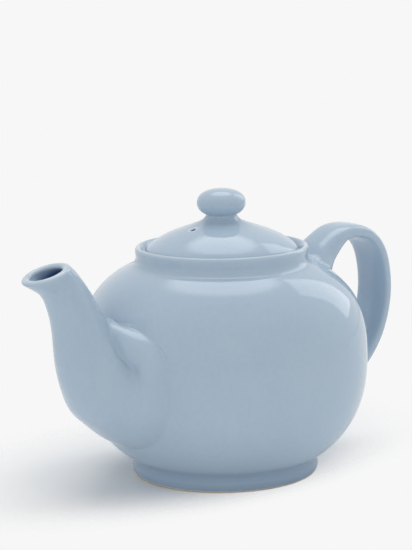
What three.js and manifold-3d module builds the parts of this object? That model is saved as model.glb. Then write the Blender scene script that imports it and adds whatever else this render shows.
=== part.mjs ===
// A round-bellied glazed teapot for six cups, with a lift-off lid.
// Millimetres, +Z up. The foot stands on z = 0, the spout points to -X and the handle to +X.
import * as THREE from "three";
import { mergeVertices } from "three/addons/utils/BufferGeometryUtils.js";
import Module from "manifold-3d";

const wasm = await Module();
wasm.setup();

// Driving sizes of the pot
const bellyRadius = 75;
const bellyHeight = 61.7; // height of the widest ring
const bellyDrop = 63.5; // half height of the lower curve, which the foot cuts off
const bellyDropFullness = 2.3; // 2 is an ellipse, more is squarer
const shoulderRise = 55.3;
const shoulderFullness = 2.6;
const wall = 4.2;
const floorThickness = 5;

const footHeight = 9;
const footFlare = 1.5; // how far the foot stands out below its groove
const footToe = 1; // how far the face it stands on is set in from its groove
const footWidth = 5.9; // from its groove to its inner edge

const collarRadius = 44.6;
const collarFillet = 2.4; // how far the collar's hollow reaches out over the shoulder
const lipRadius = 2.3; // half the thickness of the rounded lip
const lipFlare = 0.4; // how far the lip stands out from the collar
const collarRise = 7.3; // from the shoulder to the centre of the lip's rounding
const lipUndercut = -20; // where the lip's rounding leaves the collar, in degrees
const galleryDepth = 2.3; // from the lip's centre down to the ledge that the lid sits on
const throatRadius = 36.8;

// Driving sizes of the lid
const seatGap = 0.3; // between pieces that rest on each other
const lidEdgeGap = 0.9; // between the lid's edge and the lip
const lidEdgeThickness = 2.2;
const lidThickness = 3.6;
const lidRise = 17.9; // from the seat to the flat that the knob stands on
const flangeDepth = 11.3;
const flangeThickness = 3;
const flangeClearance = 2.4;
const lugReach = 1.6;
const lugHeight = 4;
const lugWidth = 12;
const ventRadius = 1.2;
const ventOffset = 18.4;
const knobRadius = 12.6;
const knobHalfHeight = 7.4;
const knobFullness = 2.2;
const knobStemRadius = 7.9;
const knobLift = 8.3; // from the flat to the ball's centre

// Driving sizes of the spout: its root is an upright oval in the belly's side
const spoutRootReach = 66.6;
const spoutRootDrop = 2.9; // from the widest ring down to the middle of the root
const spoutRootHalfWidth = 34.9;
const spoutRootHalfHeight = 28.2;
const spoutNeckRadius = 10.7;
const spoutMouthReach = 108.3;
const spoutMouthDrop = 0.9; // from the lip's centre down to the middle of the mouth
const spoutMouthTilt = 17; // how far the mouth leans over to pour, in degrees
const spoutMouthHalfWidth = 11.9;
const spoutMouthHalfLength = 12.8;
const spoutWall = 3.4;
const spoutLip = 4.4; // thickness of the rolled edge
const spoutLipRise = 1.7;
const strainerRadius = 18;
const strainerHoleRadius = 2.1;
const strainerPitch = 7;

// Driving sizes of the handle, a strap bent into an ear
const handleTopStart = 1; // from the collar's hollow out to where its line starts
const handleReach = 106.3;
const handleRise = 0.3; // from the lip's centre up to the top of its line
const handleDrop = 17.5; // from the widest ring down to the foot of its line
const handleWidth = 24.2;
const handleThickness = 7.2;
const handleRootThickness = 18;
const handleRootWidth = 37.2;
const handleFullness = 2.9;

// How finely round pieces are divided
const roundSteps = 54;
const spoutSteps = 32;
const handleSteps = 20;

const lipCentre = collarRadius + lipFlare - lipRadius;
const lipInnerRadius = lipCentre - lipRadius;

// Radius of the belly at a height, for the outside or, with an inset, for the inside
function bellyRadiusAt(z, inset = 0) {
  const below = z < bellyHeight;
  const reach = (below ? bellyDrop : shoulderRise) - inset;
  const fullness = below ? bellyDropFullness : shoulderFullness;
  const share = Math.min(1, Math.abs(z - bellyHeight) / reach);
  return (bellyRadius - inset) * (1 - share ** fullness) ** (1 / fullness);
}

// Height on the shoulder where the belly has a radius
function shoulderHeightAt(radius, inset = 0) {
  const share = radius / (bellyRadius - inset);
  return bellyHeight + (shoulderRise - inset) * (1 - share ** shoulderFullness) ** (1 / shoulderFullness);
}

const footGrooveRadius = bellyRadiusAt(footHeight);
const footRadius = footGrooveRadius + footFlare;
const footContactRadius = footGrooveRadius - footToe;
const footInnerRadius = footGrooveRadius - footWidth;
const collarFoot = shoulderHeightAt(collarRadius + collarFillet);
const lipHeight = collarFoot + collarRise;
const ledgeHeight = lipHeight - galleryDepth;
const spoutRootHeight = bellyHeight - spoutRootDrop;
const spoutMouthHeight = lipHeight - spoutMouthDrop;
const handleTopReach = collarRadius + collarFillet + handleTopStart;
const handleTop = lipHeight + handleRise;
const handleBottom = bellyHeight - handleDrop;

const point = (r, z) => new THREE.Vector2(r, z);

// Points of an arc about a centre, from one angle to another, in degrees
function arc(r, z, radius, from, to, steps) {
  return Array.from({ length: steps + 1 }, (_, i) => {
    const a = THREE.MathUtils.degToRad(from + ((to - from) * i) / steps);
    return point(r + radius * Math.cos(a), z + radius * Math.sin(a));
  });
}

// Heights spread evenly in angle between two heights on the belly
function bellyCurve(from, to, steps, inset = 0) {
  return Array.from({ length: steps + 1 }, (_, i) => {
    const z = from + ((to - from) * (1 - Math.cos((Math.PI * i) / steps))) / 2;
    return point(bellyRadiusAt(z, inset), z);
  });
}

// A solid turned about +Z from a profile that starts and ends on the axis or closes on itself
function turned(profile, steps = roundSteps) {
  return new THREE.LatheGeometry(profile, steps).rotateX(Math.PI / 2);
}

// A solid through closed rings of points, capped at both ends or joined end to start
function lofted(rings, closed = false) {
  const steps = rings[0].length;
  const points = rings.flat();
  const index = [];
  const last = closed ? rings.length : rings.length - 1;
  for (let i = 0; i < last; i++) {
    const next = (i + 1) % rings.length;
    for (let j = 0; j < steps; j++) {
      const k = (j + 1) % steps;
      const [a, b, c, d] = [i * steps + j, i * steps + k, next * steps + k, next * steps + j];
      index.push(a, b, c, a, c, d);
    }
  }
  if (!closed) {
    for (let j = 1; j < steps - 1; j++) {
      const end = (rings.length - 1) * steps;
      index.push(0, j + 1, j);
      index.push(end, end + j, end + j + 1);
    }
  }
  const geometry = new THREE.BufferGeometry().setFromPoints(points);
  geometry.setIndex(index);
  return geometry;
}

function toManifold(geometry) {
  const bare = geometry.clone();
  bare.deleteAttribute("normal");
  bare.deleteAttribute("uv");
  const merged = mergeVertices(bare, 1e-4);
  return new wasm.Manifold(
    new wasm.Mesh({
      numProp: 3,
      vertProperties: new Float32Array(merged.attributes.position.array),
      triVerts: new Uint32Array(merged.index.array),
    }),
  );
}

function toGeometry(solid) {
  const mesh = solid.getMesh();
  const geometry = new THREE.BufferGeometry();
  geometry.setAttribute("position", new THREE.BufferAttribute(new Float32Array(mesh.vertProperties), 3));
  geometry.setIndex(new THREE.BufferAttribute(new Uint32Array(mesh.triVerts), 1));
  geometry.computeVertexNormals();
  return geometry;
}

// The belly: a turned shell, open above where the collar stands on it
function potBody() {
  const insideTop = shoulderHeightAt(throatRadius, wall);
  const floor = footHeight + floorThickness;
  const corner = bellyRadiusAt(floor + 3, wall);
  return turned([
    point(0, footHeight),
    ...bellyCurve(footHeight, collarFoot, 18),
    point(throatRadius, collarFoot),
    ...bellyCurve(insideTop, floor + 3, 12, wall),
    point(corner - 5, floor + 0.6),
    point(corner - 12, floor),
    point(0, floor),
  ]);
}

// The collar: a short upright neck with a rounded lip and, inside it, the ledge for the lid
const collarHollow = [
  [collarFillet, 0],
  [collarFillet * 0.4, collarFillet * 0.55],
  [0, collarFillet * 1.6],
];
function collar() {
  return turned([
    point(throatRadius, collarFoot),
    ...collarHollow.map(([out, up]) => point(collarRadius + out, collarFoot + up)),
    ...arc(lipCentre, lipHeight, lipRadius, lipUndercut, 180, 8),
    point(lipInnerRadius, ledgeHeight),
    point(throatRadius, ledgeHeight),
    point(throatRadius, collarFoot),
  ]);
}

// The foot: a low ring, slightly waisted above and rounded under at its outer edge
function footRing() {
  return turned([
    point(footInnerRadius, 0),
    point(footContactRadius, 0),
    point(footContactRadius + 1.4, 0.7),
    point(footRadius - 0.3, footHeight * 0.25),
    point(footRadius, footHeight * 0.45),
    point(footRadius - 0.4, footHeight * 0.7),
    point(footGrooveRadius, footHeight),
    point(footInnerRadius - 1.5, footHeight),
    point(footInnerRadius - 0.6, footHeight / 3),
    point(footInnerRadius, 0),
  ]);
}

// Everything inside the pot's outer face, grown by the gap, for trimming what is stuck on to it
function potEnvelope() {
  const grown = (p) => point(p.x + seatGap, p.y);
  const top = lipHeight + 5 * lipRadius;
  return toManifold(
    turned([
      point(0, -1),
      point(footRadius + seatGap, -1),
      ...bellyCurve(footHeight, collarFoot, 18).map(grown),
      ...collarHollow.map(([out, up]) => grown(point(collarRadius + out, collarFoot + up))),
      point(collarRadius + lipFlare + seatGap, lipHeight),
      point(collarRadius + lipFlare + seatGap, top),
      point(0, top),
    ]),
  );
}

// One ring of a tube in the plane of the spout and handle. Its normal leans from +Z towards -X
// by an angle in degrees; across is its half width in Y and through its half width in the plane.
function ring({ x, z, lean, across, through }, steps, fullness = 2) {
  const a = THREE.MathUtils.degToRad(lean);
  const along = new THREE.Vector3(-Math.cos(a), 0, -Math.sin(a));
  const rounded = (v) => Math.sign(v) * Math.abs(v) ** (2 / fullness);
  return Array.from({ length: steps }, (_, i) => {
    const t = (2 * Math.PI * i) / steps;
    return new THREE.Vector3(x, 0, z)
      .addScaledVector(along, through * rounded(Math.cos(t)))
      .add(new THREE.Vector3(0, -across * rounded(Math.sin(t)), 0));
  });
}

// Stations between the given ones, on smooth curves through each of their values
function between(stations, steps) {
  const keys = Object.keys(stations[0]);
  const curves = keys.map((key) => {
    const points = stations.map((s, i) => new THREE.Vector3(i, s[key], 0));
    return new THREE.CatmullRomCurve3(points, false, "catmullrom");
  });
  return Array.from({ length: steps + 1 }, (_, i) => {
    return Object.fromEntries(keys.map((key, k) => [key, curves[k].getPoint(i / steps).y]));
  });
}

// The spout's course from root to mouth: how far out, how far up, lean, and how far its two half
// widths still are from the neck's, as shares of the root's
const spoutCourse = [
  [-0.4, 0, 90, 1.06, 1.02],
  [0, 0, 87, 1, 1],
  [0.163, 0.014, 56, 0.74, 0.811],
  [0.338, 0.13, 42, 0.479, 0.566],
  [0.482, 0.334, 22, 0.24, 0.331],
  [0.58, 0.542, 18, 0.116, 0.16],
  [0.691, 0.738, 26, 0.041, 0.057],
  [0.827, 0.904, 27.6, 0, 0],
];
const mix = (from, to, share) => from + (to - from) * share;
function spoutStations() {
  const stations = spoutCourse.map(([out, up, lean, wide, tall]) => ({
    x: -mix(spoutRootReach, spoutMouthReach, out),
    z: mix(spoutRootHeight, spoutMouthHeight, up),
    lean,
    across: mix(spoutNeckRadius, spoutRootHalfWidth, wide),
    through: mix(spoutNeckRadius, spoutRootHalfHeight, tall),
    thickness: spoutWall,
  }));
  stations.push({
    x: -spoutMouthReach,
    z: spoutMouthHeight,
    lean: spoutMouthTilt,
    across: spoutMouthHalfWidth,
    through: spoutMouthHalfLength,
    thickness: spoutLip,
  });
  return stations;
}

// The spout: a hollow tube with a rolled lip, trimmed where it meets the belly
function spout() {
  const outside = between(spoutStations(), 15);
  const inset = (s, depth) => ({ ...s, across: s.across - depth, through: s.through - depth });
  const inside = outside.map((s) => inset(s, s.thickness)).reverse();
  const tip = outside.at(-1);
  const tilt = THREE.MathUtils.degToRad(tip.lean);
  const rolled = [40, 80, 110, 145].map((angle) => {
    const a = THREE.MathUtils.degToRad(angle);
    const rise = spoutLipRise * Math.sin(a);
    const edge = inset(tip, (spoutLip * (1 - Math.cos(a))) / 2);
    return { ...edge, x: tip.x - rise * Math.sin(tilt), z: tip.z + rise * Math.cos(tilt) };
  });
  const rings = [...outside, ...rolled, ...inside].map((s) => ring(s, spoutSteps));
  return toGeometry(toManifold(lofted(rings, true)).subtract(potEnvelope()));
}

// The handle's line from inside the shoulder, over the top and down to the belly: how far out, how
// far up, and how far its width and thickness have grown towards the upper root's
const handleCourse = [
  [0, 0.719, 1, 1],
  [0.137, 0.76, 0.785, 0.815],
  [0.3, 0.883, 0.046, 0.556],
  [0.515, 0.999, -0.11, 0.13],
  [0.758, 0.988, 0, 0.02],
  [0.931, 0.85, 0, 0],
  [1, 0.624, 0, 0],
  [0.973, 0.396, 0, 0],
  [0.856, 0.176, 0, 0.04],
  [0.643, 0, 0.03, 0.11],
  [0.343, -0.08, 0.14, 0.33],
];
function handle() {
  const line = handleCourse.map(([out, up, wide, thick]) => ({
    x: mix(handleTopReach, handleReach, out),
    z: mix(handleBottom, handleTop, up),
    across: mix(handleWidth, handleRootWidth, wide) / 2,
    through: mix(handleThickness, handleRootThickness, thick) / 2,
  }));
  const stations = between(line, 30);
  const rings = stations.map((s, i) => {
    const before = stations[Math.max(0, i - 1)];
    const after = stations[Math.min(stations.length - 1, i + 1)];
    const lean = THREE.MathUtils.radToDeg(Math.atan2(before.x - after.x, after.z - before.z));
    return ring({ ...s, lean }, handleSteps, handleFullness);
  });
  return toGeometry(toManifold(lofted(rings)).subtract(potEnvelope()));
}

// The wall behind the spout, pierced with rows of round holes
function strainerBlank(radius) {
  return toManifold(
    new THREE.CylinderGeometry(radius, radius, bellyRadius, 40)
      .rotateZ(Math.PI / 2)
      .translate(-bellyRadius, 0, spoutRootHeight),
  );
}
function strainerHoles() {
  const rows = 5;
  const holes = [];
  for (let row = -2; row < rows - 2; row++) {
    const shift = row % 2 ? strainerPitch / 2 : 0;
    for (let column = -2; column <= 2; column++) {
      const y = column * strainerPitch + shift;
      const z = row * strainerPitch * 0.866;
      if (Math.hypot(y, z) + strainerHoleRadius > strainerRadius - 1.6) continue;
      holes.push(
        toManifold(
          new THREE.CylinderGeometry(strainerHoleRadius, strainerHoleRadius, bellyRadius, 14)
            .rotateZ(Math.PI / 2)
            .translate(-bellyRadius, y, spoutRootHeight + z),
        ),
      );
    }
  }
  return holes.reduce((all, hole) => all.add(hole));
}

// The lid's shell: a domed plate with a flat rim underneath and a small vent through it
const lidEdgeRadius = lipInnerRadius - lidEdgeGap;
const lidSeat = ledgeHeight + seatGap;
const lidFlat = lidSeat + lidRise;
const flangeRadius = throatRadius - flangeClearance;
function lidDome() {
  const inner = flangeRadius - flangeThickness - 0.4;
  const outline = [
    point(lidEdgeRadius, lidSeat + lidEdgeThickness),
    point(lidEdgeRadius - 1, lidSeat + lidEdgeThickness + 1.5),
    point(lidEdgeRadius * 0.935, lidSeat + lidRise * 0.285),
    point(lidEdgeRadius * 0.84, lidSeat + lidRise * 0.43),
    point(lidEdgeRadius * 0.74, lidSeat + lidRise * 0.55),
    point(lidEdgeRadius * 0.62, lidSeat + lidRise * 0.665),
    point(lidEdgeRadius * 0.48, lidSeat + lidRise * 0.775),
    point(lidEdgeRadius * 0.35, lidSeat + lidRise * 0.88),
    point(knobStemRadius + 0.6, lidFlat),
  ];
  const profile = [
    point(0, lidFlat - lidThickness - 1),
    point(knobStemRadius, lidFlat - lidThickness - 1.4),
    point(inner * 0.5, lidSeat + lidRise * 0.58),
    point(inner * 0.72, lidSeat + lidRise * 0.42),
    point(inner * 0.9, lidSeat + lidRise * 0.22),
    point(inner, lidSeat),
    point(lidEdgeRadius - 0.9, lidSeat),
    point(lidEdgeRadius, lidSeat + 0.8),
    ...outline,
    point(0, lidFlat),
  ];
  const vent = toManifold(
    new THREE.CylinderGeometry(ventRadius, ventRadius, 2 * lidRise, 14)
      .rotateX(Math.PI / 2)
      .translate(-ventOffset, 0, lidFlat),
  );
  return toGeometry(toManifold(turned(profile)).subtract(vent));
}

// The knob: a flattened ball on a short stem
function lidKnob() {
  const centre = lidFlat + knobLift;
  const ball = Array.from({ length: 12 }, (_, i) => {
    const a = THREE.MathUtils.degToRad(-56 + (146 * i) / 11);
    const c = Math.abs(Math.cos(a)) ** (2 / knobFullness);
    const s = Math.sign(Math.sin(a)) * Math.abs(Math.sin(a)) ** (2 / knobFullness);
    return point(knobRadius * c, centre + knobHalfHeight * s);
  });
  ball.at(-1).x = 0;
  return turned(
    [
      point(0, lidFlat),
      point(knobStemRadius + 0.5, lidFlat),
      point(knobStemRadius, lidFlat + 1),
      ...ball,
    ],
    36,
  );
}

// The ring under the lid that reaches down into the throat
function lidFlange() {
  const inner = flangeRadius - flangeThickness;
  return turned([
    point(inner + 0.6, lidSeat - flangeDepth),
    point(flangeRadius - 0.8, lidSeat - flangeDepth),
    point(flangeRadius, lidSeat - flangeDepth + 0.8),
    point(flangeRadius, lidSeat),
    point(inner, lidSeat),
    point(inner, lidSeat - flangeDepth + 0.6),
    point(inner + 0.6, lidSeat - flangeDepth),
  ]);
}

// The lug on the flange, on the handle's side, that stops the lid from falling out while pouring
function lidLug() {
  const reach = flangeRadius + lugReach;
  const bottom = lidSeat - flangeDepth;
  const shell = toManifold(
    turned([
      point(flangeRadius + 0.05, bottom + 0.9),
      point(reach - 0.4, bottom + 0.9),
      point(reach, bottom + 1.4),
      point(reach, bottom + lugHeight - 0.6),
      point(flangeRadius + 0.05, bottom + lugHeight),
      point(flangeRadius + 0.05, bottom + 0.9),
    ]),
  );
  const slice = toManifold(
    new THREE.BoxGeometry(reach, lugWidth, 3 * lugHeight).translate(reach, 0, bottom + lugHeight / 2),
  );
  return toGeometry(shell.intersect(slice));
}

const glaze = () => new THREE.MeshStandardMaterial({ color: 0xa3b8ca, roughness: 0.12, metalness: 0 });
const teapot = new THREE.Group();
teapot.name = "teapot";
const pot = new THREE.Group();
const lid = new THREE.Group();
function add(parent, name, geometry) {
  const mesh = new THREE.Mesh(geometry, glaze());
  mesh.name = name;
  parent.add(mesh);
}

const shell = toManifold(potBody());
const opening = strainerBlank(strainerRadius);
add(pot, "pot_body", toGeometry(shell.subtract(opening)));
add(pot, "collar", collar());
const plate = shell.intersect(strainerBlank(strainerRadius - seatGap));
add(pot, "strainer_grid", toGeometry(plate.subtract(strainerHoles())));
add(pot, "foot_ring", footRing());
add(pot, "spout", spout());
add(pot, "handle", handle());
add(lid, "lid_dome", lidDome());
add(lid, "lid_flange", lidFlange());
add(lid, "lid_lug", lidLug());
add(lid, "lid_knob", lidKnob());
teapot.add(pot, lid);

// The middle of the teapot's length stands over the origin
const middle = new THREE.Box3().setFromObject(teapot, true).getCenter(new THREE.Vector3());
teapot.position.x = -middle.x;

export default teapot;
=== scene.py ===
"""A pale blue glazed teapot on a white studio sweep.

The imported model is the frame. The pot and the lid are each one fired piece of glazed clay, so each
gets one smooth skin over its solids. Sizes are millimetres here and metres in the finished meshes.
"""
import math

import bmesh
import bpy
import numpy as np
from mathutils import Matrix, Vector


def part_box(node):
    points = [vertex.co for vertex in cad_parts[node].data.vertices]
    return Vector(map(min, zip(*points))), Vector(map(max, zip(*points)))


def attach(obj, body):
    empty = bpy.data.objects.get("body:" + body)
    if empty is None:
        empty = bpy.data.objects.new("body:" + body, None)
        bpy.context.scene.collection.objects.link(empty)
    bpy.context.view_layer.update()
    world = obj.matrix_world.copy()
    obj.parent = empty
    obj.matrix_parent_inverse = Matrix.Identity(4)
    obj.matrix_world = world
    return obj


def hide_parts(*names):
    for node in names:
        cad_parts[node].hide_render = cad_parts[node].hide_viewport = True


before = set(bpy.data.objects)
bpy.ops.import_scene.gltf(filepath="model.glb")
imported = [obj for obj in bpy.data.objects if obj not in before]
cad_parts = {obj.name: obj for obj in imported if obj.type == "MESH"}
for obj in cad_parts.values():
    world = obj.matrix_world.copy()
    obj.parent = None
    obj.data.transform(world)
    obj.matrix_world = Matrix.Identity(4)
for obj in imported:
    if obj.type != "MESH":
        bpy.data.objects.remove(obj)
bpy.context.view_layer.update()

MM = 0.001

# The camera, as fitted to the photograph: pixels are those of its 412 x 550 frame
FRAME = (412, 550)
PIVOT_HEIGHT = 70.0
PIVOT_PIXEL = (222.3, 338.6)
DISTANCE = 1050.0
ELEVATION = math.radians(11.87)
AZIMUTH = math.radians(-38)
ROLL = math.radians(-0.92)
PIXELS_PER_MM = 1.918
SENSOR = 36.0

# The pot: the belly is two superellipses, above and below its widest ring
BELLY_RADIUS = 74.98
BELLY_HEIGHT = 61.7
BELLY_DROP, BELLY_DROP_FULLNESS = 63.5, 2.37
SHOULDER_RISE, SHOULDER_FULLNESS = 55.3, 2.6
WALL = 4.2
FLOOR = 14.0
FOOT_HEIGHT = 9.0
FOOT_INNER_RADIUS = 41.5
COLLAR_RADIUS = 44.6
COLLAR_FILLET = 2.4
LEDGE_HEIGHT = 115.0
THROAT_RADIUS = 36.8
FOOT_LINE = [(FOOT_INNER_RADIUS, 0.0), (46.6, 0.0), (47.9, 0.7), (48.6, 2.2), (48.9, 4.1), (48.5, 6.3)]
LIP_LINE = [
    (45.0, 116.2), (45.0, 117.7), (44.7, 118.8), (44.0, 119.5), (43.3, 119.7), (42.5, 119.2),
    (41.6, 118.0), (40.9, 116.7), (40.5, LEDGE_HEIGHT + 0.4), (40.1, LEDGE_HEIGHT),
]
CREST_RADIUS = 43.4

# The lid
LID_SEAT = 115.3
LID_RISE = 17.9
LID_EDGE_RADIUS = 39.5
FLANGE_RADIUS, FLANGE_THICKNESS, FLANGE_DEPTH = 34.4, 3.0, 11.3
LUG_REACH, LUG_WIDTH, LUG_LOW, LUG_HIGH = 1.6, 12.0, 0.9, 4.0
KNOB_RADIUS, KNOB_HALF_HEIGHT, KNOB_FULLNESS = 12.6, 7.39, 2.24
KNOB_STEM_RADIUS = 7.9
KNOB_HEIGHT = 141.5
VENT_RADIUS, VENT_ROUND, VENT_OFFSET = 1.2, 0.8, 18.4
DOME_LINE = [
    (1, 0.09), (0.985, 0.18), (0.935, 0.285), (0.84, 0.43), (0.74, 0.55), (0.62, 0.665),
    (0.48, 0.775), (0.35, 0.875), (0.26, 0.96),
]

# Stations of the spout from root to mouth: place, lean of the ring's normal from +Z towards -X,
# half widths across and in the plane of the pot, the wall, and how square the ring is
SPOUT = np.array([
    [-49.9, 58.8, 90.0, 36.4, 28.6, 3.4, 2.2],
    [-66.6, 58.8, 87.0, 35.4, 28.2, 3.4, 2.2],
    [-73.4, 59.6, 56.0, 30.0, 24.6, 3.4, 2.2],
    [-80.7, 66.3, 42.0, 22.8, 20.4, 3.4, 2.1],
    [-86.7, 78.0, 22.0, 16.5, 16.5, 3.4, 2.0],
    [-90.8, 90.0, 18.0, 13.5, 13.5, 3.4, 2.0],
    [-95.4, 101.3, 26.0, 11.7, 11.7, 3.4, 2.0],
    [-101.1, 110.9, 27.6, 10.7, 10.7, 3.4, 2.0],
    [-108.2, 116.4, 17.0, 11.9, 12.8, 4.4, 2.0],
])
SPOUT_LIP_RISE = 1.7
SPOUT_ROOT_HEIGHT = 58.8
STRAINER_RADIUS = 17.75

# The fold round the spout's root, an oval on the belly: half width, half heights, and squareness
FOLD_HALF_WIDTH = 39.5
FOLD_RISE, FOLD_RISE_FULLNESS = 29.3, 2.6
FOLD_DROP, FOLD_DROP_FULLNESS = 36.0, 2.2
FOLD_ROUND = 1.2

# Inside the fold a fillet runs to the spout, and on each upper side it lies flatter, as a shelf.
# Its angle to the belly, and how far up the spout it ends: below, added at the top, on the shelf
FILLET_ANGLE = (30.0, 24.0, 10.8)
FILLET_END = (18.0, -8.0, 6.0)
FILLET_ARM = 0.42  # length of the curve's arms, as a share of its span
SHELF_ARM = 0.72  # how much longer the arm at the fold is on the shelf
FOLD_TWIST = 0.85  # how far the fillet's lines fall away sideways from the fold, in radians

# Stations of the handle from the shoulder over the top to the belly: place and half widths
HANDLE = np.array([
    [48.0, 97.0, 18.6, 9.0],
    [56.0, 100.0, 17.2, 8.0],
    [65.5, 109.0, 12.4, 6.6],
    [78.0, 117.5, 11.4, 4.3],
    [92.2, 116.7, 12.1, 3.7],
    [102.3, 106.6, 12.1, 3.6],
    [106.2, 90.0, 12.1, 3.6],
    [104.7, 73.3, 12.1, 3.6],
    [97.9, 57.1, 12.1, 3.8],
    [85.5, 44.2, 12.3, 4.2],
    [68.0, 38.3, 13.0, 5.4],
    [50.5, 32.4, 13.7, 6.6],
])
HANDLE_FULLNESS = 2.9

# How finely the skins are divided
TURN_STEPS = 240
STEP = 0.1
TURN_START = np.pi / 2


def linear(code):
    """An sRGB hex colour as linear RGBA."""
    parts = [int(code[i:i + 2], 16) / 255 for i in (1, 3, 5)]
    return [c / 12.92 if c <= 0.04045 else ((c + 0.055) / 1.055) ** 2.4 for c in parts] + [1.0]


def pot_axis():
    """The place in X, in mm, of the axis that the pot and its lid are turned about."""
    low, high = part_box("lid_knob")
    return (low[0] + high[0]) / 2 / MM


# Curves

def softened(points, radius):
    """Points STEP apart on the polyline, each then the bell-weighted mean of its neighbours within
    about a radius, which rounds the corners. The ends stay: beyond them the line is turned round."""
    points = np.asarray(points, float)
    run = np.concatenate([[0], np.cumsum(np.hypot(*np.diff(points, axis=0).T))])
    at = np.linspace(0, run[-1], int(run[-1] / STEP) + 1)
    line = np.stack([np.interp(at, run, points[:, k]) for k in (0, 1)], 1)
    reach = int(3 * radius / STEP)
    weight = np.exp(-0.5 * (np.arange(-reach, reach + 1) * STEP / radius) ** 2)
    weight /= weight.sum()
    head = 2 * line[0] - line[reach:0:-1]
    tail = 2 * line[-1] - line[-2:-reach - 2:-1]
    long = np.vstack([head, line, tail])
    return np.stack([np.convolve(long[:, k], weight, "valid") for k in (0, 1)], 1)


def through(stations, u):
    """Uniform Catmull-Rom curves through the stations' columns; u runs from 0 to 1."""
    stations = np.asarray(stations, float)
    count = len(stations)
    ends = np.vstack([2 * stations[0] - stations[1], stations, 2 * stations[-1] - stations[-2]])
    t = np.clip(np.asarray(u, float), 0, 1) * (count - 1)
    i = np.minimum(t.astype(int), count - 2)
    w = (t - i)[..., None]
    a, b, c, d = ends[i], ends[i + 1], ends[i + 2], ends[i + 3]
    return b + 0.5 * w * (c - a + w * (2 * a - 5 * b + 4 * c - d + w * (3 * b - a - 3 * c + d)))


def squared(value, fullness):
    """A cosine or sine raised to 2 / fullness, which squares an ellipse."""
    return np.sign(value) * np.abs(value) ** (2 / fullness)


def unit(vectors):
    return vectors / np.linalg.norm(vectors, axis=-1, keepdims=True)


def belly_radius(z, inset=0.0):
    """Superellipses above and below the widest ring: r = R (1 - |t| ^ n) ^ (1 / n)."""
    low = z < BELLY_HEIGHT
    reach = np.where(low, BELLY_DROP, SHOULDER_RISE) - inset
    n = np.where(low, BELLY_DROP_FULLNESS, SHOULDER_FULLNESS)
    t = np.clip(np.abs(z - BELLY_HEIGHT) / reach, 0, 1)
    return (BELLY_RADIUS - inset) * (1 - t ** n) ** (1 / n)


def shoulder_height(radius, inset=0.0):
    """The height on the shoulder where the belly has that radius."""
    share = radius / (BELLY_RADIUS - inset)
    n = SHOULDER_FULLNESS
    return BELLY_HEIGHT + (SHOULDER_RISE - inset) * (1 - share ** n) ** (1 / n)


def belly_line(low, high, inset=0.0):
    """Points on the belly's outline between two heights, closer together near them."""
    z = low + (high - low) * (1 - np.cos(np.linspace(0, np.pi, 300))) / 2
    return np.stack([belly_radius(z, inset), z], 1)


class Outline:
    """A turned piece's outline: points close together, with the length run along them."""

    def __init__(self, parts, radius):
        self.points = softened(np.vstack(parts), radius)
        self.run = np.concatenate([[0], np.cumsum(np.hypot(*np.diff(self.points, axis=0).T))])

    def at(self, s):
        """Radius and height at a run along the outline."""
        return [np.interp(s, self.run, self.points[:, k]) for k in (0, 1)]

    def surface(self, s, turn):
        """The point at a run along the outline and an angle about the axis."""
        r, z = self.at(s)
        return np.stack([r * np.cos(turn), r * np.sin(turn), z + 0 * turn], -1)

    def frame(self, s, turn):
        """Unit vectors on the surface, along the outline and round the axis, and the one outwards."""
        (r0, z0), (r1, z1) = self.at(s - 0.4), self.at(s + 0.4)
        dr, dz = (np.array([r1 - r0, z1 - z0])) / np.hypot(r1 - r0, z1 - z0)
        c, w = np.cos(turn), np.sin(turn)
        along = np.stack([dr * c, dr * w, dz], -1)
        round_ = np.stack([-w, c, 0 * turn], -1)
        return along, round_, np.stack([dz * c, dz * w, -dr], -1)

    def nearest(self, r, z, low, high):
        """The run, between two runs, of the outline's point nearest to a place."""
        keep = (self.run >= low) & (self.run <= high)
        away = np.hypot(*(self.points[keep] - (r, z)).T)
        return self.run[keep][np.argmin(away)]

    def part(self, low, high):
        """The runs, radii and heights between two runs."""
        keep = (self.run >= low) & (self.run <= high)
        return self.run[keep], self.points[keep, 0], self.points[keep, 1]


def rows_between(marks, spacing):
    """Runs between the marks, about one spacing apart in each stretch."""
    out = [np.array([marks[0]])]
    for a, b, gap in zip(marks, marks[1:], spacing):
        out.append(np.linspace(a, b, max(2, int(round((b - a) / gap)) + 1))[1:])
    return np.concatenate(out)


def turn_of(column):
    """The angle about the axis of a column of a turned grid."""
    return TURN_START + 2 * np.pi * column / TURN_STEPS


# Meshes

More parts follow.
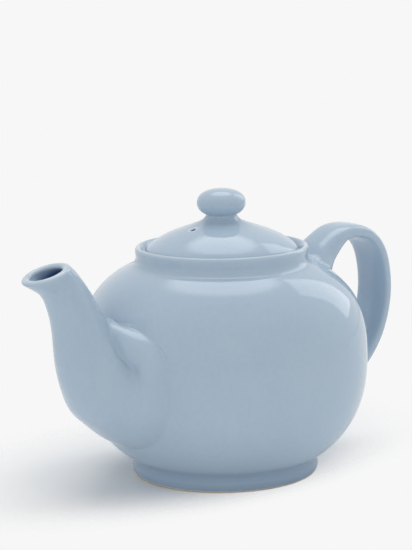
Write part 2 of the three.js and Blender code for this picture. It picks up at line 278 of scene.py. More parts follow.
class Skin:
    """Grids of quads that are joined where their points meet. Each point also carries a painted tone:
    1 on a sharp edge, where the glaze runs thin and a highlight is painted pale, and -1 in a recess,
    where shade is painted dark."""

    def __init__(self):
        self.points, self.thin, self.quads, self.count = [], [], [], 0

    def add(self, grid, thin=0.0, keep=None):
        """Adds a grid of points with rows and columns; keep says which of its quads stay."""
        rows, columns = grid.shape[:2]
        index = self.count + np.arange(rows * columns).reshape(rows, columns)
        quads = np.stack([index[:-1, :-1], index[:-1, 1:], index[1:, 1:], index[1:, :-1]], -1)
        if keep is not None:
            quads = quads[keep]
        self.quads.append(quads.reshape(-1, 4))
        self.points.append(grid.reshape(-1, 3))
        self.thin.append(np.broadcast_to(thin, (rows, columns)).ravel())
        self.count += rows * columns

    def piece(self, name, material):
        """The finished object: doubled points merged, faces turned outwards, shaded smooth."""
        points = np.concatenate(self.points) * MM
        points[:, 0] += pot_axis() * MM
        used, quads = np.unique(np.concatenate(self.quads), return_inverse=True)
        quads = quads.reshape(-1, 4)
        mesh = bpy.data.meshes.new(name)
        mesh.vertices.add(len(used))
        mesh.vertices.foreach_set("co", points[used].astype(np.float32).ravel())
        mesh.loops.add(quads.size)
        mesh.loops.foreach_set("vertex_index", quads.astype(np.int32).ravel())
        mesh.polygons.add(len(quads))
        mesh.polygons.foreach_set("loop_start", np.arange(0, quads.size, 4, dtype=np.int32))
        mesh.update(calc_edges=True)
        layer = mesh.attributes.new("thin", "FLOAT", "POINT")
        layer.data.foreach_set("value", np.concatenate(self.thin)[used].astype(np.float32))
        work = bmesh.new()
        work.from_mesh(mesh)
        bmesh.ops.remove_doubles(work, verts=work.verts, dist=2e-6)
        bmesh.ops.recalc_face_normals(work, faces=work.faces)
        work.to_mesh(mesh)
        work.free()
        mesh.polygons.foreach_set("use_smooth", np.ones(len(mesh.polygons), dtype=bool))
        mesh.materials.append(material)
        piece = bpy.data.objects.new(name, mesh)
        bpy.context.collection.objects.link(piece)
        return piece


class Window:
    """A rectangle cut out of a turned grid where something grows from it or goes through it.

    Its edge is gone round once; p and q run from -1 to 1 over its columns and rows. With flip, the
    rows are counted from the far side."""

    def __init__(self, rows, columns, flip=False):
        self.rows, self.columns = rows, columns
        (i0, i1), (j0, j1) = rows, columns
        up, along = np.arange(i0, i1), np.arange(j0, j1)
        i = np.concatenate([0 * along + i0, up, 0 * along + i1, up[::-1] + 1])
        j = np.concatenate([along, 0 * up + j1, along[::-1] + 1, 0 * up + j0])
        self.i, self.j = (i0 + i1 - i if flip else i), j
        self.p = (2 * self.j - j0 - j1) / (j1 - j0)
        self.q = (2 * self.i - i0 - i1) / (i1 - i0)

    def closed_in(self, keep):
        """Takes the window's quads out of the whole grid's."""
        keep[self.rows[0]:self.rows[1], self.columns[0]:self.columns[1]] = False


def closed(grid):
    """The grid with its first column again at its end."""
    return np.concatenate([grid, grid[:, :1]], 1)


def blend(a, b, steps):
    """Rows from a to b: the first is a, and b is left out."""
    t = np.linspace(0, 1, steps + 1)[:-1]
    return a + t.reshape(-1, *([1] * np.ndim(a))) * (b - a)


def near_turn(turn, about):
    """The same angle within half a turn of another."""
    return about + np.mod(turn - about + np.pi, 2 * np.pi) - np.pi


# The pot

def pot_outline():
    """From the middle of the underside over the foot, belly, collar and lip into the pot and down
    to the middle of its floor."""
    collar_foot = shoulder_height(COLLAR_RADIUS + COLLAR_FILLET)
    inside_top = shoulder_height(THROAT_RADIUS, WALL)
    corner = belly_radius(np.array(FLOOR + 3), WALL)
    return Outline([
        [(0, FOOT_HEIGHT), (FOOT_INNER_RADIUS - 1.5, FOOT_HEIGHT), (FOOT_INNER_RADIUS - 0.6, 3)],
        FOOT_LINE,
        belly_line(FOOT_HEIGHT, collar_foot),
        [(COLLAR_RADIUS + COLLAR_FILLET * 0.4, collar_foot + COLLAR_FILLET * 0.55),
         (COLLAR_RADIUS, collar_foot + COLLAR_FILLET * 1.6)],
        LIP_LINE,
        [(THROAT_RADIUS, LEDGE_HEIGHT)],
        belly_line(inside_top, FLOOR + 3, WALL),
        [(corner - 5, FLOOR + 0.6), (corner - 12, FLOOR), (0, FLOOR)],
    ], 0.6)


def ring_points(place, along, across, deep, v, fullness):
    """Rings of a tube: place + along * deep * cos v in the pot's plane, and -across * sin v in Y,
    with the cosine and sine squared off by the fullness."""
    c, w = squared(np.cos(v), fullness), squared(np.sin(v), fullness)
    x = place[..., 0] + along[..., 0] * deep * c
    z = place[..., 1] + along[..., 1] * deep * c
    return np.stack([x, -across * w + 0 * x, z], -1)


def spout_surface(u, v, depth=0.0):
    """The spout's outer face, or its bore at a share of the wall's thickness."""
    st = through(SPOUT, u)
    lean = np.radians(st[..., 2])
    along = np.stack([-np.cos(lean), -np.sin(lean)], -1)
    inset = depth * st[..., 5]
    return ring_points(st[..., :2], along, st[..., 3] - inset, st[..., 4] - inset, v, st[..., 6])


def handle_surface(u, v):
    """The handle's face: a strap whose sections stand square to its line."""
    st = through(HANDLE, u)
    way = unit(through(HANDLE, u + 0.004)[..., :2] - through(HANDLE, u - 0.004)[..., :2])
    along = np.stack([-way[..., 1], way[..., 0]], -1)
    return ring_points(st[..., :2], along, st[..., 2], st[..., 3], v, HANDLE_FULLNESS)


class Root:
    """Where the lines of a limb, one for each v, come out of the pot's face between two of the
    limb's parameters."""

    def __init__(self, outline, outer, surface, v, start, end):
        self.outline, self.surface, self.v = outline, surface, v
        self.sign = 1 if end > start else -1
        self.s, radius, height = outline.part(*outer)
        order = np.argsort(height)
        self.s, self.radius, self.height = self.s[order], radius[order], height[order]
        u = np.linspace(start, end, 900)
        lines = surface(u[:, None], v[None, :])
        over = np.hypot(lines[..., 0], lines[..., 1])
        over = over - np.interp(lines[..., 2], self.height, self.radius, right=0.0)
        last = len(u) - 1 - np.argmax(over[::-1] < 0, 0)
        k = np.arange(len(v))
        share = over[last, k] / (over[last, k] - over[last + 1, k])
        self.point = lines[last, k] + share[:, None] * (lines[last + 1, k] - lines[last, k])
        self.u = u[last] + share * (u[last + 1] - u[last])
        run = np.vstack([0 * v, np.cumsum(np.linalg.norm(np.diff(lines, axis=0), axis=-1), 0)])
        self.run, self.steps = run, u
        self.at = run[last, k] + share * (run[last + 1, k] - run[last, k])

    def s_at(self, z):
        """The run along the pot's outer outline at a height."""
        return np.interp(z, self.height, self.s)

    def lifted(self, lift):
        """The limb's parameter at a distance along each line beyond the pot's face."""
        at = self.at + lift
        return np.array([np.interp(at[k], self.run[:, k], self.steps) for k in range(len(self.v))])

    def spread(self, reach):
        """Runs and angles on the pot's face at a distance outside the limb's edge."""
        e = 1e-3
        along = self.surface(self.u + e, self.v) - self.surface(self.u - e, self.v)
        over = self.surface(self.u, self.v + e) - self.surface(self.u, self.v - e)
        normal = unit(np.cross(along, over))
        rings = self.surface(self.u[:, None], np.linspace(0, 2 * np.pi, 24, endpoint=False)[None, :])
        normal *= np.sign(((self.point - rings.mean(1)) * normal).sum(-1, keepdims=True))
        s, turn = self.s_at(self.point[:, 2]), np.arctan2(self.point[:, 1], self.point[:, 0])
        up, side, _ = self.outline.frame(s, turn)
        way = unit(np.stack([(normal * up).sum(-1), (normal * side).sum(-1)], -1))
        r, _ = self.outline.at(s)
        return s + reach * way[:, 0], turn + reach * way[:, 1] / r

    def fillet(self, rows, window, s, turn, u, lift_angle, rounding, arm=FILLET_ARM):
        """Rows from the window's edge over the pot's face to the places (s, turn), round a fold
        there, and on a cubic Bezier curve that leaves the face at the lift angle to the limb at u.
        The curve's arm at the fold is given as a share of its span."""
        edge_s, edge_turn = rows[window.i], turn_of(window.j)
        turn = near_turn(turn, edge_turn)
        fold = self.outline.surface(s, turn)
        up, side, out = self.outline.frame(s, turn)
        limb = self.surface(u, self.v)
        e = 1e-3 * self.sign
        tangent = unit(self.surface(u + e, self.v) - self.surface(u - e, self.v))
        way = limb - fold
        way = unit(way - (way * out).sum(-1, keepdims=True) * out)
        span = np.linalg.norm(limb - fold, axis=-1, keepdims=True)
        angle = lift_angle[:, None]
        pull = (arm + 0 * self.v)[:, None] * span
        first = fold + pull * (way * np.cos(angle) + out * np.sin(angle))
        second = limb - FILLET_ARM * span * tangent

        def curve(t):
            return ((1 - t) ** 3 * fold + 3 * (1 - t) ** 2 * t * first
                    + 3 * (1 - t) * t ** 2 * second + t ** 3 * limb)

        start = rounding / (3 * pull[..., 0])
        r, _ = self.outline.at(s)
        s0 = s - rounding * (way * up).sum(-1)
        turn0 = turn - rounding * (way * side).sum(-1) / r
        flat = self.outline.surface(blend(edge_s, s0, 6), blend(edge_turn, turn0, 6))
        before, after = self.outline.surface(s0, turn0), curve(start[:, None])
        t = np.linspace(0, 1, 8)[:-1, None, None]
        rounded = (1 - t) ** 2 * before + 2 * t * (1 - t) * fold + t ** 2 * after
        t = start[:, None] + np.linspace(0, 1, 16)[:, None, None] * (1 - start[:, None])
        return np.concatenate([flat, rounded, curve(t)])


def fold_places(root, v):
    """The fold round the spout's root: an oval on the belly, squarer above than below."""
    low = np.cos(v) > 0
    rise = np.where(low, FOLD_DROP, FOLD_RISE)
    fullness = np.where(low, FOLD_DROP_FULLNESS, FOLD_RISE_FULLNESS)
    y = -FOLD_HALF_WIDTH * squared(np.sin(v), fullness)
    z = SPOUT_ROOT_HEIGHT - rise * squared(np.cos(v), fullness)
    return root.s_at(z), np.pi - np.arcsin(y / belly_radius(z))


def spout_rows(outline, rows, outer, inner, window, inner_window):
    """The spout as one strip: fillet, tube, rolled lip, bore, the wall behind it with the round
    opening for the strainer, and on to the window in the pot's inner wall. On the rolled lip the
    glaze runs thin and a pale highlight is painted; in the bore, as a negative number, shade is painted."""
    v = np.arctan2(window.p, -window.q)
    root = Root(outline, outer, spout_surface, v, 0.0, 1.0)
    top = (1 - np.cos(v)) / 2
    shelf = top * np.abs(np.sin(v))
    s, turn = fold_places(root, v + FOLD_TWIST * np.sin(v) * top)
    shares = np.stack([np.ones_like(v), top, shelf])
    u, angle = root.lifted(FILLET_END @ shares), np.radians(FILLET_ANGLE @ shares)
    arm = FILLET_ARM + SHELF_ARM * shelf
    fillet = root.fillet(rows, window, s, turn, u, angle, FOLD_ROUND, arm)
    tube = spout_surface(u + np.linspace(0, 1, 56)[1:, None] * (1 - u), v[None, :])

    tip = through(SPOUT, 1.0)
    lean = math.radians(tip[2])
    angles = np.radians(np.arange(15, 180, 15))[:, None]
    inset = tip[5] * (1 - np.cos(angles)) / 2
    rise = SPOUT_LIP_RISE * np.sin(angles)
    place = tip[:2] + rise[..., None] * np.array([-math.sin(lean), math.cos(lean)])
    along = np.array([-math.cos(lean), -math.sin(lean)])
    rolled = ring_points(place, along, tip[3] - inset, tip[4] - inset, v[None, :], 2.0)

    samples = np.linspace(1, 0.02, 600)[:, None]
    bore = spout_surface(samples, v[None, :], 1.0)
    inside = np.hypot(bore[..., 0], bore[..., 1]) < belly_radius(bore[..., 2])
    u_end = samples[np.argmax(inside, 0), 0]
    bore = spout_surface(1 + np.linspace(0, 1, 40)[:, None] * (u_end - 1), v[None, :], 1.0)

    y = -STRAINER_RADIUS * np.sin(v)
    z = SPOUT_ROOT_HEIGHT - STRAINER_RADIUS * np.cos(v)
    near, far = belly_radius(z), belly_radius(z, WALL)
    s_near, turn_near = root.s_at(z), np.pi - np.arcsin(y / near)
    s_end = root.s_at(bore[-1, :, 2])
    turn_end = near_turn(np.arctan2(bore[-1, :, 1], bore[-1, :, 0]), turn_near)
    behind = outline.surface(blend(s_end, s_near, 9)[1:], blend(turn_end, turn_near, 9)[1:])
    runs, _, heights = outline.part(*inner)
    s_far, turn_far = np.interp(-z, -heights, runs), np.pi - np.arcsin(y / far)
    passage = blend(outline.surface(s_near, turn_near), outline.surface(s_far, turn_far), 3)
    edge_s, edge_turn = rows[inner_window.i], turn_of(inner_window.j)
    wall = outline.surface(blend(edge_s, s_far, 10)[::-1], blend(edge_turn, turn_far, 10)[::-1])
    last = outline.surface(s_far, turn_far)[None]
    strip = np.concatenate([fillet, tube, rolled, bore, behind, passage, last, wall])
    thin = np.zeros((len(strip), 1))
    # On the rolled lip the glaze runs thin, and a pale highlight is painted there.
    start = len(fillet) + len(tube) - 2
    count = len(rolled) + 3
    thin[start:start + count, 0] = np.sin(np.linspace(0, np.pi, count)) ** 2
    # Painted shade in the bore: full a few rows in from the mouth, fading out at its inner end.
    start = len(fillet) + len(tube) + len(rolled)
    row = np.arange(len(bore))
    deep = np.clip((row - 0.5) / 3.5, 0, 1) * np.clip((len(bore) - row) / 8, 0, 1)
    thin[start:start + len(bore), 0] -= deep
    return strip, thin


def handle_rows(outline, rows, outer, upper, lower):
    """The handle as one strip, from its upper window to its lower one."""
    v = np.arctan2(-upper.p, upper.q)
    under = (1 - np.cos(v)) / 2
    top = Root(outline, outer, handle_surface, v, 0.0, 0.5)
    end = Root(outline, outer, handle_surface, v, 1.0, 0.5)
    flat = 0 * v
    u_top, u_end = top.lifted(5 + under), end.lifted(4.5 + flat)
    first = top.fillet(rows, upper, *top.spread(3.5 + flat), u_top, flat, 0.5)
    second = end.fillet(rows, lower, *end.spread(3.5 + flat), u_end, flat, 0.5)
    strap = handle_surface(u_top + np.linspace(0, 1, 90)[1:-1, None] * (u_end - u_top), v[None, :])
    return np.concatenate([first, strap, second[::-1]])


def pot_skin(material):
    """The whole pot as one fired piece: a turned shell, and the spout and handle grown from it."""
    outline = pot_outline()
    total = outline.run[-1]
    toe = outline.nearest(FOOT_INNER_RADIUS - 1.5, FOOT_HEIGHT, 0, total / 2)
    groove = outline.nearest(47.4, FOOT_HEIGHT, toe, total / 2)
    neck = outline.nearest(COLLAR_RADIUS + 4, shoulder_height(COLLAR_RADIUS + 4), groove, total)
    crest = outline.nearest(CREST_RADIUS, LEDGE_HEIGHT + 5, groove, total)
    throat = outline.nearest(THROAT_RADIUS, LEDGE_HEIGHT - 3, crest, total)
    floor = outline.nearest(60, FLOOR + 3, throat, total)
    marks = [0, toe, groove, neck, crest, throat, floor, total]
    rows = rows_between(marks, [4.0, 0.8, 2.0, 0.75, 0.6, 2.0, 3.6])
    grid = outline.surface(rows[:, None], turn_of(np.arange(TURN_STEPS + 1))[None, :])
    heights = outline.at(rows)[1]

    def row_at(z, low, high):
        within = (rows >= low) & (rows <= high)
        return int(np.argmin(np.where(within, np.abs(heights - z), np.inf)))

    spout_turn, handle_turn = TURN_STEPS // 4, 3 * TURN_STEPS // 4
    columns = (spout_turn - 25, spout_turn + 25)
    low, high = row_at(17, groove, crest), row_at(98, groove, crest)
    spout_window = Window((low, high), columns)
    middle = row_at(SPOUT_ROOT_HEIGHT, throat, total)
    start = middle - (high - low) // 2
    inner_window = Window((start, start + high - low), columns, flip=True)
    columns = (handle_turn - 18, handle_turn + 18)
    low, high = row_at(86, groove, crest), row_at(118.8, groove, crest)
    upper = Window((low, high), columns)
    start = row_at(42, groove, crest) - (high - low) // 2
    lower = Window((start, start + high - low), columns, flip=True)
    keep = np.ones((len(rows) - 1, TURN_STEPS), bool)
    for window in (spout_window, inner_window, upper, lower):
        window.closed_in(keep)
    skin = Skin()
    # Along the lip's crest the glaze runs thin, and a pale highlight is painted there.
    skin.add(grid, np.exp(-((rows - crest) / 1.0) ** 2)[:, None], keep)
    outer = (groove, crest)
    strip, thin = spout_rows(outline, rows, outer, (throat, total), spout_window, inner_window)
    skin.add(closed(strip), thin)
    skin.add(closed(handle_rows(outline, rows, outer, upper, lower)))
    return skin.piece("pot", material)


# The lid

def lid_outline():
    """From under the middle of the lid out to the flange, round its edge and over the dome, up the
    stem and the knob to its top."""
    inner = FLANGE_RADIUS - FLANGE_THICKNESS
    flat = LID_SEAT + LID_RISE
    foot = LID_SEAT - FLANGE_DEPTH
    angle = np.radians(np.linspace(-56, 90, 60))
    ball = np.stack([
        KNOB_RADIUS * squared(np.cos(angle), KNOB_FULLNESS),
        KNOB_HEIGHT + KNOB_HALF_HEIGHT * squared(np.sin(angle), KNOB_FULLNESS),
    ], 1)
    dome = np.array(DOME_LINE) * (LID_EDGE_RADIUS, LID_RISE) + (0, LID_SEAT)
    return Outline([
        [(0, flat - 4.6), (KNOB_STEM_RADIUS, flat - 5)],
        [(inner * 0.5, LID_SEAT + LID_RISE * 0.58), (inner * 0.72, LID_SEAT + LID_RISE * 0.42)],
        [(inner * 0.9, LID_SEAT + LID_RISE * 0.22), (inner, LID_SEAT), (inner, foot)],
        [(FLANGE_RADIUS, foot), (FLANGE_RADIUS, LID_SEAT), (LID_EDGE_RADIUS, LID_SEAT)],
        through(dome, np.linspace(0, 1, 120)),
        [(KNOB_STEM_RADIUS + 0.6, flat + 0.9), (KNOB_STEM_RADIUS, flat + 2.2)],
        ball,
    ], 0.5)


def with_lug(grid):
    """Pushes the flange's outer face out by the lug's reach where the lug stands, with smoothly
    rising edges: the reach times a step in height, squared, times one in width."""
    x, y, z = grid[..., 0], grid[..., 1], grid[..., 2]
    r = np.hypot(x, y)
    low = LID_SEAT - FLANGE_DEPTH
    soft = 0.45

    def step(distance):
        t = np.clip(distance / soft, 0, 1)
        return t * t * (3 - 2 * t)

    rise = step(z - low - LUG_LOW) * step(low + LUG_HIGH - z)
    rise = rise * step(LUG_WIDTH / 2 - np.abs(y)) * (x > 0) * (r > FLANGE_RADIUS - 0.5)
    return grid * np.stack([1 + LUG_REACH * rise / np.maximum(r, 1)] * 2 + [np.ones_like(r)], -1)


def vent_rows(outline, rows, above, below, outer, inner):
    """The vent as one strip from the window in the dome, over a rounded edge and straight down to
    the window in the lid's underside. On its edge the glaze runs thin and a pale highlight is
    painted; inside, shade is painted dark."""
    def ring(part, v, radius):
        runs, radii, _ = part
        order = np.argsort(radii)
        x, y = -VENT_OFFSET + radius * np.cos(v), radius * np.sin(v)
        s = np.interp(np.hypot(x, y), radii[order], runs[order])
        return s, np.mod(np.arctan2(y, x), 2 * np.pi)

    def side(window, part, sign):
        edge_s, edge_turn = rows[window.i], turn_of(window.j)
        edge = outline.surface(edge_s, edge_turn)
        v = np.arctan2(edge[:, 1], edge[:, 0] + VENT_OFFSET)
        s, turn = ring(part, v, VENT_RADIUS + VENT_ROUND)
        flat = outline.surface(blend(edge_s, s, 4), blend(edge_turn, near_turn(turn, edge_turn), 4))
        start = outline.surface(s, turn)
        a = np.radians(np.linspace(0, 90, 7))[:, None]
        radius = VENT_RADIUS + VENT_ROUND * (1 - np.sin(a))
        z = start[:, 2] - sign * VENT_ROUND * (1 - np.cos(a))
        return flat, np.stack([-VENT_OFFSET + radius * np.cos(v), radius * np.sin(v), z], -1)

    flat, edge = side(above, outline.part(*outer), 1)
    flat_below, edge_below = side(below, outline.part(*inner), -1)
    shaft = blend(edge[-1], edge_below[-1], 4)[1:]
    strip = np.concatenate([flat, edge, shaft, edge_below[::-1], flat_below[::-1]])
    thin = np.zeros((len(strip), 1))
    # On the vent's edge the glaze runs thin with a painted highlight; down its shaft, painted shade.
    thin[len(flat) - 1:len(flat) + 4] = 1.0
    thin[len(flat) + 6:len(flat) + len(edge) + len(shaft)] = -1.0
    return strip, thin


def lid_skin(material):
    """The lid as one fired piece: dome, flange, lug and knob."""
    outline = lid_outline()
    total = outline.run[-1]
    inner = FLANGE_RADIUS - FLANGE_THICKNESS
    under = outline.nearest(inner * 0.9, LID_SEAT + LID_RISE * 0.22, 0, total / 2)
    edge = outline.nearest(LID_EDGE_RADIUS, LID_SEAT + 2, under, total)
    waist = outline.nearest(KNOB_STEM_RADIUS + 3, LID_SEAT + LID_RISE - 1, edge, total)
    rows = rows_between([0, under, edge + 2, waist, total], [1.0, 0.5, 1.0, 0.7])
    radii = outline.at(rows)[0]
    middle = TURN_STEPS // 4

    def window(low, high, flip):
        within = (rows >= low) & (rows <= high)
        row = int(np.argmin(np.where(within, np.abs(radii - VENT_OFFSET), np.inf)))
        return Window((row - 4, row + 4), (middle - 8, middle + 8), flip)

    above, below = window(edge, total, False), window(0, under, True)
    keep = np.ones((len(rows) - 1, TURN_STEPS), bool)
    above.closed_in(keep)
    below.closed_in(keep)
    grid = outline.surface(rows[:, None], turn_of(np.arange(TURN_STEPS + 1))[None, :])
    skin = Skin()
    # Along the lid's edge the glaze runs thin, and a pale highlight is painted there.
    skin.add(with_lug(grid), np.exp(-((rows - edge) / 0.9) ** 2)[:, None], keep)
    strip, thin = vent_rows(outline, rows, above, below, (edge, waist), (0, under))
    skin.add(closed(strip), thin)
    return skin.piece("lid", material)


# Materials

def node(tree, kind, inputs=None, **settings):
    """A new node with its settings; its inputs by name or number are values or other nodes' outputs."""
    made = tree.nodes.new(kind)
    for name, value in settings.items():
        setattr(made, name, value)
    for name, value in (inputs or {}).items():
        if isinstance(value, bpy.types.NodeSocket):
            tree.links.new(value, made.inputs[name])
        else:
            made.inputs[name].default_value = value
    return made


def new_material(name):
    material = bpy.data.materials.new(name)
    material.use_nodes = True
    return material, material.node_tree, material.node_tree.nodes["Principled BSDF"]


def glaze():
    """Glossy pale blue glaze on cast white earthenware, dipped and fired once more.

    The glaze pools a little, so its colour drifts over some centimetres and is faintly speckled over
    a few millimetres. On sharp edges it runs thin and pale, with a painted highlight along them; round
    the foot painted shade darkens it towards the bottom, and in the spout's bore and the vent painted
    shade makes it deep blue. Its skin is slightly wavy. The foot's underside is wiped clean and shows
    the cream body. Noise scales are per metre: the drift is 38 mm long, the speckle 2.4 mm, a wave 11 mm."""
    material, tree, shader = new_material("glaze")
    place = node(tree, "ShaderNodeTexCoord").outputs["Object"]
    drift = node(tree, "ShaderNodeTexNoise", {"Vector": place, "Scale": 26.0, "Detail": 2.0})
    speckle = node(tree, "ShaderNodeTexNoise", {"Vector": place, "Scale": 420.0, "Detail": 3.0})
    tone = node(tree, "ShaderNodeMix", {
        "Factor": drift.outputs["Fac"], 6: linear("#ABC0D3"), 7: linear("#B5C8D9"),
    }, data_type="RGBA")
    spots = node(tree, "ShaderNodeMapRange", {
        "Value": speckle.outputs["Fac"], "From Min": 0.35, "From Max": 0.75, "To Min": 0.0, "To Max": 0.18,
    })
    tone = node(tree, "ShaderNodeMix", {
        "Factor": spots.outputs["Result"], 6: tone.outputs[2], 7: linear("#9CB4C8"),
    }, data_type="RGBA")
    # Paler where the glaze runs thin on sharp edges, with a painted highlight along them.
    thin = node(tree, "ShaderNodeAttribute", attribute_name="thin")
    thinned = node(tree, "ShaderNodeMath", {0: thin.outputs["Fac"], 1: 0.55}, operation="MULTIPLY")
    tone = node(tree, "ShaderNodeMix", {
        "Factor": thinned.outputs[0], 6: tone.outputs[2], 7: linear("#D6E2E8"),
    }, data_type="RGBA")
    # Painted shade in the recesses, the spout's bore and the vent's shaft: a deep blue.
    deep = node(tree, "ShaderNodeMath", {0: thin.outputs["Fac"], 1: -0.85}, operation="MULTIPLY")
    tone = node(tree, "ShaderNodeMix", {
        "Factor": deep.outputs[0], 6: tone.outputs[2], 7: linear("#38609C"),
    }, data_type="RGBA")
    height = node(tree, "ShaderNodeSeparateXYZ", {"Vector": place}).outputs["Z"]
    # Painted shade round the foot: darker towards the bottom, fading out by 14 mm up.
    painted_foot_shade = node(tree, "ShaderNodeMapRange", {
        "Value": height, "From Min": 0.007, "From Max": 0.014, "To Min": 0.6, "To Max": 0.0,
    }, interpolation_type="SMOOTHSTEP")
    tone = node(tree, "ShaderNodeMix", {
        "Factor": painted_foot_shade.outputs["Result"], 6: tone.outputs[2], 7: linear("#8AA2BA"),
    }, data_type="RGBA")
    wiped = node(tree, "ShaderNodeMapRange", {
        "Value": height, "From Min": 0.0012, "From Max": 0.0016, "To Min": 1.0, "To Max": 0.0,
    })
    tone = node(tree, "ShaderNodeMix", {
        "Factor": wiped.outputs["Result"], 6: tone.outputs[2], 7: linear("#D9D0C0"),
    }, data_type="RGBA")
    gloss = node(tree, "ShaderNodeMapRange", {
        "Value": wiped.outputs["Result"], "From Min": 0.0, "From Max": 1.0, "To Min": 0.08, "To Max": 0.8,
    })
    waves = node(tree, "ShaderNodeTexNoise", {"Vector": place, "Scale": 90.0, "Detail": 1.0})
    bump = node(tree, "ShaderNodeBump", {
        "Height": waves.outputs["Fac"], "Strength": 0.4, "Distance": 0.00015,
    })
    tree.links.new(tone.outputs[2], shader.inputs["Base Color"])
    tree.links.new(gloss.outputs["Result"], shader.inputs["Roughness"])
    tree.links.new(bump.outputs["Normal"], shader.inputs["Normal"])
    shader.inputs["IOR"].default_value = 1.5
    return material


def floor_material():
    """White seamless studio paper, matt. Outside an oval round the pot, 336 by 198 mm, it thins out
    into the white behind it."""
    material, tree, shader = new_material("floor")
    shader.inputs["Base Color"].default_value = linear("#FAFAFA")
    shader.inputs["Roughness"].default_value = 0.9
    shader.inputs["Specular IOR Level"].default_value = 0.2
    place = node(tree, "ShaderNodeTexCoord").outputs["Object"]
    oval = node(tree, "ShaderNodeMapping", {
        "Vector": place, "Location": (0.003, 0.039, 0.0), "Rotation": (0.0, 0.0, math.radians(6.93)),
        "Scale": (0.168, 0.099, 1.0),
    }, vector_type="TEXTURE")
    away = node(tree, "ShaderNodeVectorMath", {0: oval.outputs[0]}, operation="LENGTH").outputs["Value"]
    fade = node(tree, "ShaderNodeMapRange", {
        "Value": away, "From Min": 0.48, "From Max": 1.06, "To Min": 0.0, "To Max": 1.0,
    }, interpolation_type="SMOOTHSTEP")
    camera = node(tree, "ShaderNodeLightPath").outputs["Is Camera Ray"]
    share = node(tree, "ShaderNodeMath", {0: fade.outputs["Result"], 1: camera}, operation="MULTIPLY")
    clear = node(tree, "ShaderNodeBsdfTransparent")
    mix = node(tree, "ShaderNodeMixShader", {
        0: share.outputs[0], 1: shader.outputs[0], 2: clear.outputs[0],
    })
    tree.links.new(mix.outputs[0], tree.nodes["Material Output"].inputs["Surface"])
    return material


# The studio

def make_camera():
    """The camera at the photograph's angle, which aims a little beside the pivot and is rolled."""
    back = Vector((
        math.sin(AZIMUTH) * math.cos(ELEVATION),
        -math.cos(AZIMUTH) * math.cos(ELEVATION),
        math.sin(ELEVATION),
    ))
    right = Vector((math.cos(AZIMUTH), math.sin(AZIMUTH), 0.0))
    up = back.cross(right)
    pivot = Vector((pot_axis(), 0, PIVOT_HEIGHT))
    place = pivot + DISTANCE * back
    aim = pivot - (PIVOT_PIXEL[0] - FRAME[0] / 2) / PIXELS_PER_MM * right
    aim += (PIVOT_PIXEL[1] - FRAME[1] / 2) / PIXELS_PER_MM * up
    z_axis = (place - aim).normalized()
    x_axis = Vector((0, 0, 1)).cross(z_axis).normalized()
    y_axis = z_axis.cross(x_axis)
    basis = Matrix((x_axis, y_axis, z_axis)).transposed() @ Matrix.Rotation(ROLL, 3, "Z")
    data = bpy.data.cameras.new("camera")
    data.sensor_width = SENSOR
    data.lens = PIXELS_PER_MM * DISTANCE * SENSOR / FRAME[1]
    camera = bpy.data.objects.new("camera", data)
    camera.matrix_world = Matrix.Translation(place * MM) @ basis.to_4x4()
    bpy.context.collection.objects.link(camera)
    bpy.context.scene.camera = camera


def make_floor():
    """A plain pale floor."""
    mesh = bpy.data.meshes.new("floor")
    half = 3.0
    corners = [(-half, -half, 0), (half, -half, 0), (half, half, 0), (-half, half, 0)]
    mesh.from_pydata(corners, [], [(0, 1, 2, 3)])
    floor = bpy.data.objects.new("floor", mesh)
    mesh.materials.append(floor_material())
    bpy.context.collection.objects.link(floor)


def toward(azimuth, elevation):
    """The unit vector in a direction given in degrees."""
    a, e = math.radians(azimuth), math.radians(elevation)
    return Vector((math.cos(a) * math.cos(e), math.sin(a) * math.cos(e), math.sin(e)))


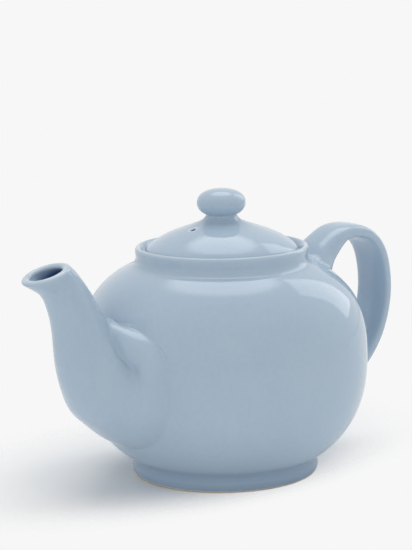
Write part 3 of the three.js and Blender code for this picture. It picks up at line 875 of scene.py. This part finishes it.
def make_world():
    """White all round: bright to the camera and in reflections, and softer on the pot. Reflections
    also show a soft-edged bright patch of the ceiling, high up behind the pot: its brightness is a
    smooth step in the cosine between a direction and the patch's middle."""
    world = bpy.data.worlds.new("studio")
    world.use_nodes = True
    tree = world.node_tree
    path = node(tree, "ShaderNodeLightPath")
    seen = node(tree, "ShaderNodeMath", {
        0: path.outputs["Is Camera Ray"], 1: path.outputs["Is Glossy Ray"],
    }, operation="MAXIMUM")
    level = node(tree, "ShaderNodeMapRange", {
        "Value": seen.outputs[0], "To Min": FILL, "To Max": BACKDROP,
    })
    way = node(tree, "ShaderNodeTexCoord").outputs["Generated"]
    near = node(tree, "ShaderNodeVectorMath", {0: way, 1: toward(*CEILING_PLACE)}, operation="DOT_PRODUCT")
    edge, full = [math.cos(math.radians(angle)) for angle in CEILING_EDGE]
    patch = node(tree, "ShaderNodeMapRange", {
        "Value": near.outputs["Value"], "From Min": edge, "From Max": full,
        "To Min": 0.0, "To Max": CEILING,
    }, interpolation_type="SMOOTHSTEP")
    mirrored = node(tree, "ShaderNodeMath", {
        0: patch.outputs["Result"], 1: path.outputs["Is Glossy Ray"],
    }, operation="MULTIPLY")
    total = node(tree, "ShaderNodeMath", {
        0: level.outputs["Result"], 1: mirrored.outputs[0],
    }, operation="ADD")
    tree.nodes["Background"].inputs["Color"].default_value = (1, 1, 1, 1)
    tree.links.new(total.outputs[0], tree.nodes["Background"].inputs["Strength"])
    bpy.context.scene.world = world
    bpy.context.scene.view_settings.view_transform = "Standard"


def make_light(name, azimuth, elevation, distance, size, level, mirrored):
    """A rectangular soft light that faces the pot: angles in degrees, metres, its brightness, and
    whether the glaze mirrors it."""
    data = bpy.data.lights.new(name, "AREA")
    data.shape = "RECTANGLE"
    data.size, data.size_y = size
    data.energy = level * math.pi * size[0] * size[1]
    light = bpy.data.objects.new(name, data)
    way = toward(azimuth, elevation)
    light.location = distance * way + Vector((0, 0, PIVOT_HEIGHT * MM))
    light.rotation_euler = way.to_track_quat("Z", "Y").to_euler()
    light.visible_glossy = mirrored
    bpy.context.collection.objects.link(light)


# How bright the white is to the eye, and as light on the pot
BACKDROP, FILL = 0.93, 0.55
# How much brighter the ceiling's patch is, its direction, and how far from it it starts and is full
CEILING, CEILING_PLACE, CEILING_EDGE = 2.0, (52, 66), (24, 14)

make_camera()
make_floor()
make_world()
make_light("side box", 5, 30, 1.6, (0.65, 1.2), 1.3, True)
make_light("top box", 52, 78, 1.7, (1.5, 1.1), 1.9, False)
make_light("left card", -165, 15, 1.8, (1.4, 1.4), 0.65, False)
make_light("right card", -50, 8, 1.8, (1.2, 0.8), 0.9, False)

surface = glaze()
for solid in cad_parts.values():
    solid.data.materials.clear()
    solid.data.materials.append(surface)

pot = pot_skin(surface)
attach(pot, "pot")
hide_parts("pot_body", "collar", "foot_ring", "spout", "handle")

lid = lid_skin(surface)
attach(lid, "lid")
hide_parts("lid_dome", "lid_knob", "lid_flange", "lid_lug")
